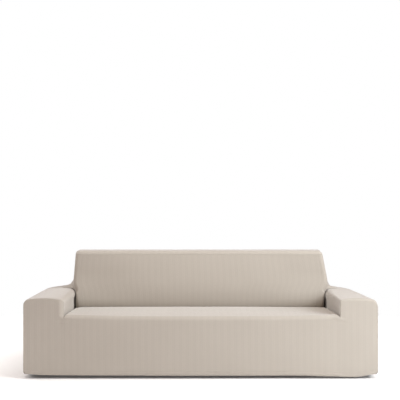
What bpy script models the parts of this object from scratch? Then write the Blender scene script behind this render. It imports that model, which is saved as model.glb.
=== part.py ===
"""Fitted stretch cover for a wide sofa, without the sofa.

Nine cut pieces of ribbed stretch cloth. Each is one thin closed sheet in the shape
that it takes over the padding, and the pieces meet edge to edge at their seams.
Metres, +Z up. The front faces -Y, and the hem's lowest point lies on Z = 0.
"Left" and "right" are as seen from the front, and "across" is a distance from the
middle of the sofa to either side.
"""
import math
from collections import namedtuple

import bpy
import bmesh
from mathutils import Vector

# ---- Cloth and seams -------------------------------------------------------------
CLOTH = 0.0025          # one layer
SEAM = 0.0008           # between two pieces sewn edge to edge
TOP_SEAM = 0.0015       # the same round the top of the back, where the edges lean
TUCK_GAP = 0.0005       # between two layers pushed into a crease
LAP = 0.0034            # the back's wing lies this far above the arm's cloth
WELD = 0.0001           # corners of the grid closer than this become one
HAIR = 0.000001         # slack when two distances are compared
SHARP_ANGLE = 40.0      # degrees

# ---- Overall sizes ---------------------------------------------------------------
HALF_WIDTH = 1.200
FRONT = -0.446          # face of the arm fronts
REAR = 0.450
SEAM_HEIGHT = 0.7885    # seam round the top of the back
TOP_RISE = 0.029        # padding above that seam

# ---- Hem: turned under all round, and drawn up a little at the corners -----------
HEM_ROLL = 0.012
HEM_LIP = 0.030
HEM_CORNER = 0.020      # height at the four corners
HEM_CORNER_REACH = 0.15
HEM_ELSEWHERE = 0.005   # height along the sides and the rear
HemLevel = namedtuple("HemLevel", "x height")
FRONT_HEM = (
    HemLevel(-1.10, 0.0120),
    HemLevel(-0.68, 0.0095),
    HemLevel(0.00, 0.0080),
    HemLevel(0.66, 0.0090),
    HemLevel(0.90, 0.0035),
    HemLevel(0.99, 0.0000),
    HemLevel(1.20, 0.0000),
)

# ---- Seat ------------------------------------------------------------------------
SEAT_FRONT_HEIGHT = 0.4235
SEAT_REAR_FALL = 0.020
SEAT_SIDE_FALL = 0.003
SEAT_ROUND = 0.045
SEAT_BULGE = 0.004
CREASE = 0.160          # where the seat meets the back
TUCK_FLOOR = 0.364      # lowest cloth in the creases
TUCK_DEPTH = 0.034
TUCK_ROUND = 0.014
SIDE_RINGS = (0.0, 0.003, 0.008)        # lines of corners in from the seat's side edges
REAR_RINGS = (0.090, 0.060, 0.040, 0.030, 0.014, 0.008, 0.003, 0.0)    # and from its rear
SIDE_FALL_FADE = 0.6    # share of the side fall that is gone at the back

# ---- Arms ------------------------------------------------------------------------
ARM_BOW = 0.80          # curve across an arm's top: metres of fall per square metre
ARM_CREST_FRONT = 1.065  # how far across an arm's highest line runs, front and rear
ARM_CREST_REAR = 1.010
FRONT_ROLL_LENGTH = 0.030
OUTER_ROUND = 0.030
OUTER_RIM = 0.003       # a ring of corners this far in from an arm's outer edge
FACE_END = 0.360        # the inner face runs on into the crevice to here
CREVICE_MOUTH = 0.090   # in front of the crease, where an arm's cloth starts to give way
GIVE_HEIGHT = 0.030     # below an arm's edge, where it has given way in full

# ---- Back ------------------------------------------------------------------------
BACK_FOOT = 0.3975
BACK_LEAN = 0.19        # metres backward for each metre up
BACK_BULGE = 0.012
BULGE_ACROSS = 0.6      # the lower these two, the flatter the bulge's middle
BULGE_UP = 0.8
EDGE_ROUND_LOW = 0.016
EDGE_ROUND_HIGH = 0.030
EDGE_ROUND_REACH = 0.15  # height over which the edge's rounding grows
TOP_EDGE_ROUND = 0.040  # along the front and the rear of the back's top
TOP_END_SHARES = (0.0, 0.09, 0.32, 0.64, 1.0)   # rings of corners on its round ends
LOW_TOP = 0.504         # below this the back's sides are pushed in beside the arms
CREVICE_TOP = 0.5235    # they come out of the crevice here, over this height
CREVICE_SPREAD = 0.060
WING_FOOT = 0.5325      # level of the arms' tops at the back's sides
SIDE_LOW = 0.612        # the back's sides are widest here, and draw in above it
FILLET_TOP = 0.680      # above this the back's sides don't spread outward
SPREAD_START = 0.190    # the wing's lower edge spreads outward behind this
SPREAD_LENGTH = 0.150
SPREAD = 0.120

# The two sides are fitted a little unevenly. front_crown and rear_crown are the arm's
# height along its crest; roll_inner and roll_outer are how far its cloth rolls down
# over the front edge; back_foot, back_low and back_top are how far across the back's
# side lies in the crease, just above the arm and at the top seam. crevice_foot and
# crevice_top are the width of the deep crevice between the back's side and the arm, in
# the crease and just under the arm's top, crevice_depth is how deep the cloth is pushed
# in there, and crevice_bow is how far the arm's cloth gives way beside it.
Side = namedtuple("Side", "sign arm_inner inner_round front_crown rear_crown roll_inner "
                          "roll_outer back_foot back_low back_top top_round "
                          "crevice_foot crevice_top crevice_depth crevice_bow")
LEFT = Side(-1, 0.927, 0.028, 0.5360, 0.5350, 0.003, 0.003,
            0.9265, 0.944, 0.933, 0.038, 0.022, 0.016, 0.140, 0.012)
RIGHT = Side(+1, 0.944, 0.016, 0.5330, 0.5285, 0.004, 0.014,
             0.9435, 0.967, 0.940, 0.042, 0.072, 0.010, 0.180, 0.010)
GUSSET_FLAT = 0.007     # of the gusset lies flat beside the front, before it turns
WALL_SHARES = (0.0, 0.12, 0.3, 0.5, 0.75, 1.0)  # lines of corners round into the crevice

# A spot on a piece's outline: which stretch of it, and how far along, from 0 to 1.
Spot = namedtuple("Spot", "zone t")
# A column of the outer back. Its measure is a distance in from its side's edge ("edge"),
# a share of the stretch between the edges ("middle"), a distance across ("arm"), or a
# share of the curve from the arm up into the back ("fillet").
Column = namedtuple("Column", "zone side measure")
# A column of the seat: a distance in from its side's edge or, away from the sides, a
# share of the stretch between, and how far past the crease the column runs.
SeatColumn = namedtuple("SeatColumn", "side inset share past")

CLOTH_COLOUR = (0.54, 0.48, 0.42, 1.0)


# ---- Small helpers ---------------------------------------------------------------
def mix(a, b, t):
    return a + (b - a) * t


def smooth(t):
    t = min(max(t, 0.0), 1.0)
    return t * t * (3.0 - 2.0 * t)


def quarter(t):
    return math.radians(90.0 * t)


def corner_drop(into, radius):
    """How far a round corner has fallen, `into` metres past the start of its curve."""
    into = min(max(into, 0.0), radius)
    return radius - math.sqrt(radius * radius - into * into)


def steps(zone, count, start=0):
    return [Spot(zone, i / count) for i in range(start, count + 1)]


# ---- Hem -------------------------------------------------------------------------
def hem_point(t):
    """Distance in from the cloth's face, and height, from the lip up to the roll."""
    lip_share = 0.4
    if t < lip_share:
        return mix(HEM_LIP, HEM_ROLL, t / lip_share), 0.0
    angle = quarter((t - lip_share) / (1.0 - lip_share))
    return HEM_ROLL * (1.0 - math.sin(angle)), HEM_ROLL * (1.0 - math.cos(angle))


def hem_level(to_corner, level=HEM_ELSEWHERE):
    """Height of the hem's lowest point, drawn up toward the corners."""
    return mix(HEM_CORNER, level, smooth(to_corner / HEM_CORNER_REACH))


def front_hem_level(x):
    level = FRONT_HEM[0].height
    for here, there in zip(FRONT_HEM, FRONT_HEM[1:]):
        if x >= here.x:
            level = mix(here.height, there.height, smooth((x - here.x) / (there.x - here.x)))
    return hem_level(HALF_WIDTH - abs(x), level)


# ---- Form of the padded sofa under the cloth -------------------------------------
def arm_height(side, across, y):
    back = (y - FRONT) / (REAR - FRONT)
    crest = mix(ARM_CREST_FRONT, ARM_CREST_REAR, back)
    height = mix(side.front_crown, side.rear_crown, back)
    height -= ARM_BOW * (across - crest) ** 2
    out = smooth((across - side.arm_inner) / (ARM_CREST_FRONT - side.arm_inner))
    into = (FRONT + FRONT_ROLL_LENGTH - y) / (FRONT_ROLL_LENGTH - CLOTH - SEAM)
    height -= mix(side.roll_inner, side.roll_outer, out) * min(max(into, 0.0), 1.0) ** 2
    height -= corner_drop(across - (HALF_WIDTH - OUTER_ROUND), OUTER_ROUND)
    height -= corner_drop(side.arm_inner + side.inner_round - across, side.inner_round)
    return height


def arm_face(side, y, z):
    """How far across an arm's inner face lies. It gives way beside the crevice."""
    back = min(max((y - CREASE + CREVICE_MOUTH) / CREVICE_MOUTH, 0.0), 1.0)
    edge = arm_height(side, side.arm_inner, y)
    return side.arm_inner + side.crevice_bow * back * min(max((edge - z) / GIVE_HEIGHT, 0.0), 1.0)


def seat_height(x, y):
    back = min((y - FRONT) / (CREASE - FRONT), 1.0)
    side_fall = SEAT_SIDE_FALL * (x / LEFT.arm_inner) ** 4 * (1.0 - SIDE_FALL_FADE * back)
    return SEAT_FRONT_HEIGHT - SEAT_REAR_FALL * back - side_fall


def back_face(z):
    """Depth of the back's front face where it meets the back's sides."""
    return CREASE + TUCK_GAP + BACK_LEAN * max(z - BACK_FOOT, 0.0)


def back_bulge(share, z):
    up = (z - BACK_FOOT) / (SEAM_HEIGHT - BACK_FOOT)
    up = min(max(up, 0.0), 1.0)
    across = math.sin(math.pi * share) ** BULGE_ACROSS
    return BACK_BULGE * across * math.sin(math.pi * up) ** BULGE_UP


def edge_round(z):
    return mix(EDGE_ROUND_LOW, EDGE_ROUND_HIGH, smooth((z - BACK_FOOT) / EDGE_ROUND_REACH))


def back_side(side, z):
    """How far across the back's side lies at a height."""
    if z > SIDE_LOW:
        up = (z - SIDE_LOW) / (SEAM_HEIGHT - SIDE_LOW)
        return mix(side.back_low, side.back_top, up)
    return mix(side.back_foot, side.back_low, smooth((z - CREVICE_TOP) / CREVICE_SPREAD))


def crevice(side, z):
    """Width and depth of the crevice beside the back at a height."""
    up = min(max((z - BACK_FOOT) / (LOW_TOP - BACK_FOOT), 0.0), 1.0)
    closing = smooth((z - LOW_TOP) / (WING_FOOT - LOW_TOP))
    width = mix(side.crevice_foot, side.crevice_top, up)
    return mix(width, edge_round(z), closing), mix(side.crevice_depth, edge_round(z), closing)


def spread(y):
    return SPREAD * smooth((y - SPREAD_START) / SPREAD_LENGTH)


def wing_point(side, y, t):
    """Across and height on the curve from the arm's top up into the back's side."""
    edge = back_side(side, WING_FOOT) + spread(y)
    foot = arm_height(side, edge, y) + LAP
    z = mix(foot, FILLET_TOP, 1.0 - math.cos(quarter(t)))
    return back_side(side, z) + spread(y) * (1.0 - math.sin(quarter(t))), z


# ---- Making a piece --------------------------------------------------------------
def make_piece(name, columns, rows, keep, place, outside):
    """Lay a grid of cloth on the form, cut it to shape and give it its thickness.

    keep(column, next_column, row, next_row) says whether a cell is cloth, and
    place(column, row) gives a corner's location. outside is a location well in
    front of the piece's face, which tells the cloth's outside from its inside.
    """
    across_cells = len(columns) - 1
    along_cells = len(rows) - 1
    bm = bmesh.new()
    bmesh.ops.create_grid(bm, x_segments=across_cells, y_segments=along_cells, size=0.5)
    index = {}
    for v in bm.verts:
        index[v] = (round((v.co.x + 0.5) * across_cells), round((v.co.y + 0.5) * along_cells))
    offcuts = []
    for face in bm.faces:
        i = min(index[v][0] for v in face.verts)
        j = min(index[v][1] for v in face.verts)
        if not keep(columns[i], columns[i + 1], rows[j], rows[j + 1]):
            offcuts.append(face)
    for v, (i, j) in index.items():
        v.co = place(columns[i], rows[j])
    bmesh.ops.delete(bm, geom=offcuts, context="FACES")
    bmesh.ops.remove_doubles(bm, verts=bm.verts, dist=WELD)
    bm.normal_update()
    middle = min(bm.faces, key=lambda f: (f.calc_center_median() - outside).length)
    if middle.normal.dot(outside - middle.calc_center_median()) < 0.0:
        bmesh.ops.reverse_faces(bm, faces=bm.faces)
    mesh = bpy.data.meshes.new(name)
    bm.to_mesh(mesh)
    bm.free()
    mesh.shade_smooth()
    mesh.set_sharp_from_angle(angle=math.radians(SHARP_ANGLE))

    piece = bpy.data.objects.new(name, mesh)
    bpy.context.scene.collection.objects.link(piece)
    piece.data.materials.append(cloth_material(name))
    thickness = piece.modifiers.new("thickness", "SOLIDIFY")
    thickness.thickness = CLOTH
    thickness.offset = -1.0
    thickness.use_even_offset = True
    return piece


def cloth_material(name):
    material = bpy.data.materials.new(name)
    material.use_nodes = True
    shader = material.node_tree.nodes["Principled BSDF"]
    shader.inputs["Base Color"].default_value = CLOTH_COLOUR
    shader.inputs["Roughness"].default_value = 0.9
    shader.inputs["Metallic"].default_value = 0.0
    return material


# ---- Seat panel: hem, front drop, seat, and the edges pushed into the creases -----
def seat_edge_columns(side):
    """From the side's edge inward: along the arm, then round the crevice's wall."""
    width, depth = crevice(side, BACK_FOOT)
    edge = side.arm_inner + side.crevice_bow - TUCK_GAP
    columns = [SeatColumn(side, ring, None, depth) for ring in SIDE_RINGS]
    for share in reversed(WALL_SHARES):
        angle = quarter(share)
        away = Vector((math.sin(angle) / width, -math.cos(angle) / depth)).normalized()
        across = side.back_foot - width * (1.0 - math.sin(angle)) + SEAM * away.x
        past = depth * (1.0 - math.cos(angle)) + SEAM * (1.0 + away.y)
        columns.append(SeatColumn(side, edge - across, None, past))
    return columns


def seat_panel():
    left_edge = seat_edge_columns(LEFT)
    right_edge = seat_edge_columns(RIGHT)
    middle = [SeatColumn(None, None, i / 15, 0.0) for i in range(1, 15)]
    columns = left_edge + middle + right_edge[::-1]
    rows = steps("hem", 5) + steps("drop", 4, 1) + steps("round", 5, 1) + steps("top", 5, 1)
    rows += [Spot("rear", ring) for ring in REAR_RINGS[1:]]

    def tuck_share(inset):
        into = min(max(TUCK_ROUND - inset, 0.0), TUCK_ROUND) / TUCK_ROUND
        return math.sqrt(1.0 - into * into)

    def depth_back(column, row):
        """Y of a corner behind the seat's front edge, on into the crevice at the sides."""
        mouth, crease_ring = REAR_RINGS[0], REAR_RINGS[2]
        if row.zone == "top":
            return mix(FRONT + SEAT_ROUND, CREASE - mouth, row.t)
        if row.t < crease_ring:
            return CREASE + column.past - row.t
        into = (mouth - row.t) / (mouth - crease_ring)
        return CREASE - row.t + min(column.past, crease_ring) * into

    def face(x, z):
        belly = 1.0 - min(abs(x) / LEFT.arm_inner, 1.0) ** 2
        return FRONT - SEAT_BULGE * belly * math.sin(math.pi * z / SEAT_FRONT_HEIGHT)

    def place(column, row):
        y = FRONT
        if row.zone in ("top", "rear"):
            y = depth_back(column, row)
        left_end = -(arm_face(LEFT, y, BACK_FOOT) - TUCK_GAP)
        right_end = arm_face(RIGHT, y, BACK_FOOT) - TUCK_GAP
        side_share = 1.0
        if column.side is None:
            x = mix(left_end + left_edge[-1].inset, right_end - right_edge[-1].inset, column.share)
        else:
            edge = left_end if column.side is LEFT else right_end
            x = edge - column.side.sign * column.inset
            side_share = tuck_share(column.inset)
        level = front_hem_level(x)
        shoulder = seat_height(x, FRONT + SEAT_ROUND) - SEAT_ROUND

        if row.zone == "hem":
            inset, height = hem_point(row.t)
            return (x, face(x, height) + inset, height + level)
        if row.zone == "drop":
            z = mix(HEM_ROLL + level, shoulder, row.t)
            return (x, face(x, z), z)
        if row.zone == "round":
            angle = quarter(row.t)
            depth = TUCK_DEPTH * (1.0 - side_share) * smooth(row.t)
            radius = SEAT_ROUND - depth
            start = face(x, shoulder) - FRONT
            y = FRONT + start * (1.0 - row.t) + SEAT_ROUND - radius * math.cos(angle)
            return (x, y, shoulder + radius * math.sin(angle))
        rear_share = 1.0
        if row.zone == "rear":
            rear_share = tuck_share(row.t)
        depth = TUCK_DEPTH * (1.0 - side_share * rear_share)
        return (x, y, seat_height(x, y) - depth)

    return make_piece("seat_panel", columns, rows, lambda *cell: True, place, Vector((0, -3, 3)))


# ---- Arm panel: outer side, top and inner face of one arm, from front to rear ------
def arm_panel(side, name):
    outer_top = HALF_WIDTH - OUTER_ROUND
    rows = steps("hem", 5) + steps("side", 3, 1) + steps("outer", 4, 1) + steps("top", 4, 1)
    rows += steps("inner", 3, 1) + steps("face", 3, 1)
    front_rim = FRONT + CLOTH + SEAM
    rear_rim = REAR - CLOTH - SEAM
    columns = [front_rim, FRONT + HEM_ROLL, FRONT + HEM_LIP]
    columns += [mix(FRONT + HEM_LIP, CREASE - CREVICE_MOUTH, i / 5) for i in range(1, 6)]
    columns += [mix(CREASE - CREVICE_MOUTH, CREASE, i / 2) for i in range(1, 3)]
    columns += [mix(CREASE, FACE_END, i / 3) for i in range(1, 4)]
    columns += [mix(FACE_END, REAR - HEM_LIP, i / 2) for i in range(1, 3)]
    columns += [REAR - HEM_ROLL, rear_rim]

    def to_corner(y):
        return min(y - FRONT, REAR - y)

    def keep(y, next_y, row, next_row):
        if row.zone == "hem" and next_row.zone == "hem":
            return to_corner(y) >= HEM_ROLL - HAIR and to_corner(next_y) >= HEM_ROLL - HAIR
        if next_row.zone in ("inner", "face"):
            return next_y <= FACE_END + HAIR
        return True

    def place(y, row):
        level = hem_level(to_corner(y))
        if row.zone == "hem":
            inset, z = hem_point(row.t)
            across = HALF_WIDTH - min(inset, max(to_corner(y) - SEAM, 0.0))
            z += level
        elif row.zone == "side":
            across = HALF_WIDTH
            z = mix(HEM_ROLL + level, arm_height(side, across, y), row.t)
        elif row.zone == "face":
            z = mix(arm_height(side, side.arm_inner, y), TUCK_FLOOR, row.t)
            across = arm_face(side, y, z)
        else:
            if row.zone == "outer":
                across = HALF_WIDTH - OUTER_ROUND * (1.0 - math.cos(quarter(row.t)))
            elif row.zone == "top":
                across = mix(outer_top, side.arm_inner + side.inner_round, row.t)
            else:
                across = side.arm_inner + side.inner_round * (1.0 - math.sin(quarter(row.t)))
            z = arm_height(side, across, y)
        return (side.sign * across, y, z)

    return make_piece(name, columns, rows, keep, place, Vector((side.sign * 4, -1, 3)))


# ---- Arm front: the flat piece that closes the front of one arm --------------------
def arm_front(side, name):
    inner_end = side.arm_inner + side.inner_round
    columns = [mix(side.arm_inner, inner_end, share) for share in (0.0, 0.1, 0.45, 1.0)]
    columns += [mix(inner_end, HALF_WIDTH - HEM_LIP, i / 5) for i in range(1, 6)]
    columns += [HALF_WIDTH - HEM_ROLL, HALF_WIDTH - OUTER_RIM, HALF_WIDTH]
    rows = steps("hem", 5) + steps("front", 3, 1)

    def keep(across, next_across, row, next_row):
        if row.zone == "hem" and next_row.zone == "hem":
            return next_across <= HALF_WIDTH - HEM_ROLL + HAIR
        return True

    def place(across, row):
        to_corner = HALF_WIDTH - across
        level = front_hem_level(side.sign * across)
        y = FRONT
        if row.zone == "hem":
            inset, z = hem_point(row.t)
            y += min(inset, max(to_corner - SEAM, 0.0))
            z += level
        else:
            z = mix(HEM_ROLL + level, arm_height(side, across, FRONT), row.t)
        return (side.sign * across, y, z)

    return make_piece(name, columns, rows, keep, place, Vector((side.sign, -4, 0.3)))


# ---- Inside back: the leaning front, from the crease up to the top seam -------------
def back_rows():
    rows = steps("tuck", 2) + steps("low", 3, 1) + steps("lap", 2, 1)
    return rows + steps("fillet", 5, 1) + steps("upper", 4, 1)


def back_level(row):
    """Height of a row where it crosses the back's front."""
    if row.zone == "tuck":
        return mix(TUCK_FLOOR, BACK_FOOT, row.t)
    if row.zone == "low":
        return mix(BACK_FOOT, LOW_TOP, row.t)
    if row.zone == "lap":
        return mix(LOW_TOP, WING_FOOT, row.t)
    if row.zone == "fillet":
        return mix(WING_FOOT, FILLET_TOP, 1.0 - math.cos(quarter(row.t)))
    return mix(FILLET_TOP, SEAM_HEIGHT - TOP_SEAM, row.t)


def inside_back():
    columns = steps("face", 16)

    def place(column, row):
        z = back_level(row)
        left_end = -(back_side(LEFT, z) - crevice(LEFT, z)[0] - GUSSET_FLAT)
        right_end = back_side(RIGHT, z) - crevice(RIGHT, z)[0] - GUSSET_FLAT
        x = mix(left_end, right_end, column.t)
        return (x, back_face(z) - back_bulge(column.t, z), z)

    return make_piece("inside_back", columns, back_rows(), lambda *cell: True, place,
                      Vector((0, -4, 1)))


# ---- Back gusset: round one end of the back, down into the crevice and onto the arm --
def back_gusset(side, name):
    rear_rim = REAR - CLOTH - SEAM
    columns = [Spot("flat", 0.0)] + [Spot("edge", share) for share in WALL_SHARES]
    columns += steps("wing", 8, 1)

    def keep(column, next_column, row, next_row):
        return next_column.zone == "edge" or next_row.zone in ("fillet", "upper")

    def place(column, row):
        z = back_level(row)
        foot_share = row.t if row.zone == "fillet" else 0.0
        if column.zone == "wing":
            y = mix(back_face(z) + edge_round(z), rear_rim, column.t)
            across = back_side(side, z)
            if row.zone in ("lap", "fillet"):
                across, z = wing_point(side, y, foot_share)
            return (side.sign * across, y, z)
        width, depth = crevice(side, z)
        angle = quarter(column.t)
        across = back_side(side, z) - width * (1.0 - math.sin(angle))
        if column.zone == "flat":
            across -= GUSSET_FLAT - SEAM
        y = back_face(z) + depth * (1.0 - math.cos(angle))
        if row.zone in ("lap", "fillet"):
            foot = wing_point(side, y, foot_share)[1]
            if row.zone == "lap":
                foot = mix(LOW_TOP, foot, row.t)
            z = mix(z, foot, smooth(column.t))
        return (side.sign * across, y, z)

    return make_piece(name, columns, back_rows(), keep, place, Vector((side.sign * 3, -3, 1)))


# ---- Outside back: over the top of the back and down the whole rear ----------------
def round_corner(from_side, from_front, radius):
    """Bend a square corner of the plan to a round one, ring by ring."""
    ring = min(from_side, from_front)
    if max(from_side, from_front) >= radius:
        return from_side, from_front
    along_side = from_side <= from_front
    far = from_front if along_side else from_side
    angle = math.radians(45.0) * (radius - far) / (radius - ring)
    near_way = radius - (radius - ring) * math.cos(angle)
    far_way = radius - (radius - ring) * math.sin(angle)
    return (near_way, far_way) if along_side else (far_way, near_way)


def outside_back():
    rear_rim = REAR - CLOTH - SEAM

    def behind_arm(side):
        foot = back_side(side, WING_FOOT) + SPREAD
        outer = [HALF_WIDTH - inset for inset in (0.0, OUTER_RIM, HEM_ROLL, HEM_LIP)]
        top = [mix(outer[-1], foot, i / 3) for i in (1, 2)]
        spots = [Column("arm", side, across) for across in outer + top]
        return spots + [Column("fillet", side, i / 5) for i in range(5)]

    def top_end(side):
        return [Column("edge", side, share * side.top_round) for share in TOP_END_SHARES]

    middle = [Column("middle", None, i / 9) for i in range(1, 9)]
    columns = behind_arm(LEFT) + top_end(LEFT) + middle
    columns += top_end(RIGHT)[::-1] + behind_arm(RIGHT)[::-1]
    rows = steps("hem", 5) + steps("low", 3, 1) + steps("upper", 2, 1)
    rows += steps("rear round", 4, 1) + steps("top", 2, 1) + steps("front round", 4, 1)

    def keep(column, next_column, row, next_row):
        pair = (column, next_column)
        if not any(c.zone in ("arm", "fillet") for c in pair):
            return True
        if next_row.zone == "hem":
            limit = HALF_WIDTH - HEM_ROLL + HAIR
            return not any(c.zone == "arm" and c.measure > limit for c in pair)
        return next_row.zone == "low"

    def upright(x, top, row):
        to_corner = HALF_WIDTH - abs(x)
        level = hem_level(to_corner)
        if row.zone == "hem":
            inset, z = hem_point(row.t)
            return (x, REAR - min(inset, max(to_corner - SEAM, 0.0)), z + level)
        return (x, REAR, mix(HEM_ROLL + level, top, row.t))

    def over_the_top(column, row, x):
        """The padded top: how far it has risen, and its round corners in plan."""
        depth = REAR - back_face(SEAM_HEIGHT)
        if row.zone == "rear round":
            from_rear = TOP_EDGE_ROUND * (1.0 - math.cos(quarter(row.t)))
            row_share = math.sin(quarter(row.t))
        elif row.zone == "top":
            from_rear = mix(TOP_EDGE_ROUND, depth - TOP_EDGE_ROUND, row.t)
            row_share = 1.0
        else:
            from_rear = depth - TOP_EDGE_ROUND * (1.0 - math.sin(quarter(row.t)))
            row_share = math.cos(quarter(row.t))
        side_share = 1.0
        if column.zone == "edge":
            into = 1.0 - column.measure / column.side.top_round
            side_share = math.sqrt(max(1.0 - into * into, 0.0))
            from_front = depth - from_rear
            inset, from_front = round_corner(column.measure, from_front, EDGE_ROUND_HIGH)
            from_rear = depth - from_front
            x = column.side.sign * (back_side(column.side, SEAM_HEIGHT) - inset)
        return (x, REAR - from_rear, SEAM_HEIGHT + TOP_RISE * row_share * side_share)

    def place(column, row):
        side = column.side
        if column.zone == "arm":
            return upright(side.sign * column.measure, arm_height(side, column.measure, rear_rim), row)
        if column.zone == "fillet":
            across, top = wing_point(side, rear_rim, column.measure)
            return upright(side.sign * across, top, row)

        z = SEAM_HEIGHT
        if row.zone in ("hem", "low"):
            z = FILLET_TOP
        elif row.zone == "upper":
            z = mix(FILLET_TOP, SEAM_HEIGHT, row.t)
        if column.zone == "edge":
            x = side.sign * (back_side(side, z) - column.measure)
        else:
            left_end = -(back_side(LEFT, z) - LEFT.top_round)
            right_end = back_side(RIGHT, z) - RIGHT.top_round
            x = mix(left_end, right_end, column.measure)
        if row.zone in ("hem", "low"):
            return upright(x, z, row)
        if row.zone == "upper":
            return (x, REAR, z)
        return over_the_top(column, row, x)

    return make_piece("outside_back", columns, rows, keep, place, Vector((0, 4, 0.5)))


# ---- Build -------------------------------------------------------------------------
for start_object in list(bpy.data.objects):
    bpy.data.objects.remove(start_object, do_unlink=True)

seat_panel()
for arm_side, word in ((LEFT, "left"), (RIGHT, "right")):
    arm_panel(arm_side, "arm_panel_" + word)
    arm_front(arm_side, "arm_front_" + word)
    back_gusset(arm_side, "back_gusset_" + word)
inside_back()
outside_back()
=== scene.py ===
"""Fitted stretch cover for a wide low sofa: its sewn panels, hem, seams and stitches.

Metres, +Z up. The front faces -Y. "Left" and "right" are as seen from the front, and
"across" is a distance from the middle of the sofa to either side.
"""
from collections import namedtuple
from math import cos, exp, pi, radians, sin, sqrt

import bpy
import bmesh
from mathutils import Matrix, Vector, noise
from mathutils.bvhtree import BVHTree
from mathutils.kdtree import KDTree


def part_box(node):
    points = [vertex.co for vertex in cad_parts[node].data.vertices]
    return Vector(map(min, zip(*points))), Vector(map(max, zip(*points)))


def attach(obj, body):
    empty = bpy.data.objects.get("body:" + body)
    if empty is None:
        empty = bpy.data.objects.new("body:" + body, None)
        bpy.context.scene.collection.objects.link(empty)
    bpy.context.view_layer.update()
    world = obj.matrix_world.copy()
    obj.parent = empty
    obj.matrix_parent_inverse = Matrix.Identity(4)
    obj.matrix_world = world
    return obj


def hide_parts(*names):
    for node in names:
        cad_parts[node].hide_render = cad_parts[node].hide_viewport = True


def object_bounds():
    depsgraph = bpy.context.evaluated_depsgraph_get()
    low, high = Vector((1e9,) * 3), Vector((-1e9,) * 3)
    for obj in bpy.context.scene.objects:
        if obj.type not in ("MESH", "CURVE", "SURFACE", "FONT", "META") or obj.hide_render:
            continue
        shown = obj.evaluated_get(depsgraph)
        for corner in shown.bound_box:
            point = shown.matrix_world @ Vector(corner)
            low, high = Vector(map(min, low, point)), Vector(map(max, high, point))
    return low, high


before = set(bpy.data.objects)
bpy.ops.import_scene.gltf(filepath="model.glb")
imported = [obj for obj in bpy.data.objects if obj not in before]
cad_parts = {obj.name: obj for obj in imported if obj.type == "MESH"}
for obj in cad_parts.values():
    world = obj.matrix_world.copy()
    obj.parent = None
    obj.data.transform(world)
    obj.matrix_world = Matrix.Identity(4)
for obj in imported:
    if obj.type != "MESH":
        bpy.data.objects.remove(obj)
cad_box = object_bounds()

# ---- Sizes taken from the frame ----
HALF_WIDTH = cad_box[1][0]
REAR = cad_box[1][1]
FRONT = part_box("arm_front_left")[0][1]  # face of the arm fronts
TUCK_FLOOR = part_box("inside_back")[0][2]  # lowest cloth in the creases

# ---- Cloth and seams ----
CLOTH = 0.0022
SEAM = 0.0003  # between two panels sewn edge to edge
RIM = CLOTH + SEAM
TUCK_GAP = 0.0005  # between two layers pushed into a crease
FRONT_GAP = 0.0001  # between the seat's front drop and the arm fronts
LAP = 0.003  # the back's wing lies this far above the arm's cloth,
LAP_AT_CREVICE = 0.007  # and stands off it more beside the crevice
LAP_FRONT = 0.2  # from here toward the rear it settles down to LAP,
LAP_FADE = 0.08  # over this length
GRID = 0.0085  # spacing of the cloth's points on the broad panels
FINE_GRID = 0.0055  # on the arms and the back's front
FINEST_GRID = 0.004  # on the small panels and round tight curves
COARSE_GRID = 1.2 * GRID  # on the flat rear
BAND_GRID = 0.0018  # up across the hem's stitches
WELD = 0.0001  # points closer than this are one
HAIR = 0.000001  # slack in comparing two lengths
MM = 0.001
SHARP_ANGLE = 50  # degrees

# ---- Hem, turned under all round ----
HEM_ROLL = 0.012  # radius of the turn from the outer face to the underside
HEM_LIP = 0.03  # the cloth runs this far in under the cover
LIP_SHARE = 0.4  # of the hem's rows lie on the flat lip, the rest on the turn
HEM_TURN = 0.06  # nominal length, for the number of rows
HEM_CORNER = 0.02  # height at the cover's corners,
HEM_CORNER_REACH = 0.15  # this near to which it starts to rise
HEM_ELSEWHERE = 0.005
HEM_STITCHED = 0.027  # height of the stitches above the hem's lowest point
HEM_BAND = 0.039  # up to here the points lie closer
STITCH_GROOVE = 0.0009
STITCH_GROOVE_WIDTH = 0.0024
HEM_PUFF = 0.0007  # the double cloth stands out below its stitches
HEM_PUFF_FADE = 0.004
HemLevel = namedtuple("HemLevel", "x height")
FRONT_HEM = [HemLevel(*row) for row in (
    (-1.1, 0.012), (-0.68, 0.0095), (0, 0.008), (0.66, 0.009), (0.9, 0.0035), (0.99, 0), (1.2, 0))]

# ---- Seat ----
SEAT_FRONT_HEIGHT = 0.4235
SEAT_REAR_FALL = 0.02
SEAT_CREST = 0.64  # share of the way back where its middle is fullest
SEAT_CREST_HEIGHT = 0.4225
CREST_TO_FRONT = 0.0145  # it falls this far to the front edge,
CREST_CURVE = 2.5  # along this power of the way there,
CREST_TO_REAR = 0.0205  # and this far to the crease
CROWN_SPREAD = 4  # power: the crown reaches well out toward the arms
SEAT_SIDE_FALL = 0.003  # beside the arms, at the front
SIDE_FALL_FADE = 0.6  # share of that fall that is lost toward the back
SEAT_EDGE_REACH = 0.07  # this near an arm it is fuller, or sags
SEAT_ROUND = 0.03  # over its front edge
SEAT_ROUND_END = 0.016  # and beside the arms
SEAT_ROUND_FADE = 0.08
SEAT_BULGE = 0.014  # of the front drop, halfway up
CREASE = 0.16  # where the seat meets the back
TUCK_DEPTH = 0.034
TUCK_ROUND = 0.014
TUCK_REACH = 0.04
FINE_SHARE = 0.04  # of the seat's width at either side has its points closer
TUCK_RINGS = (0, 0.0012, 0.003, 0.0055, 0.008, 0.011, 0.014, 0.02, 0.027, 0.0335)
SEAT_MIDDLE = 1.79  # width of the seat between its tucked-in edges

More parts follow.
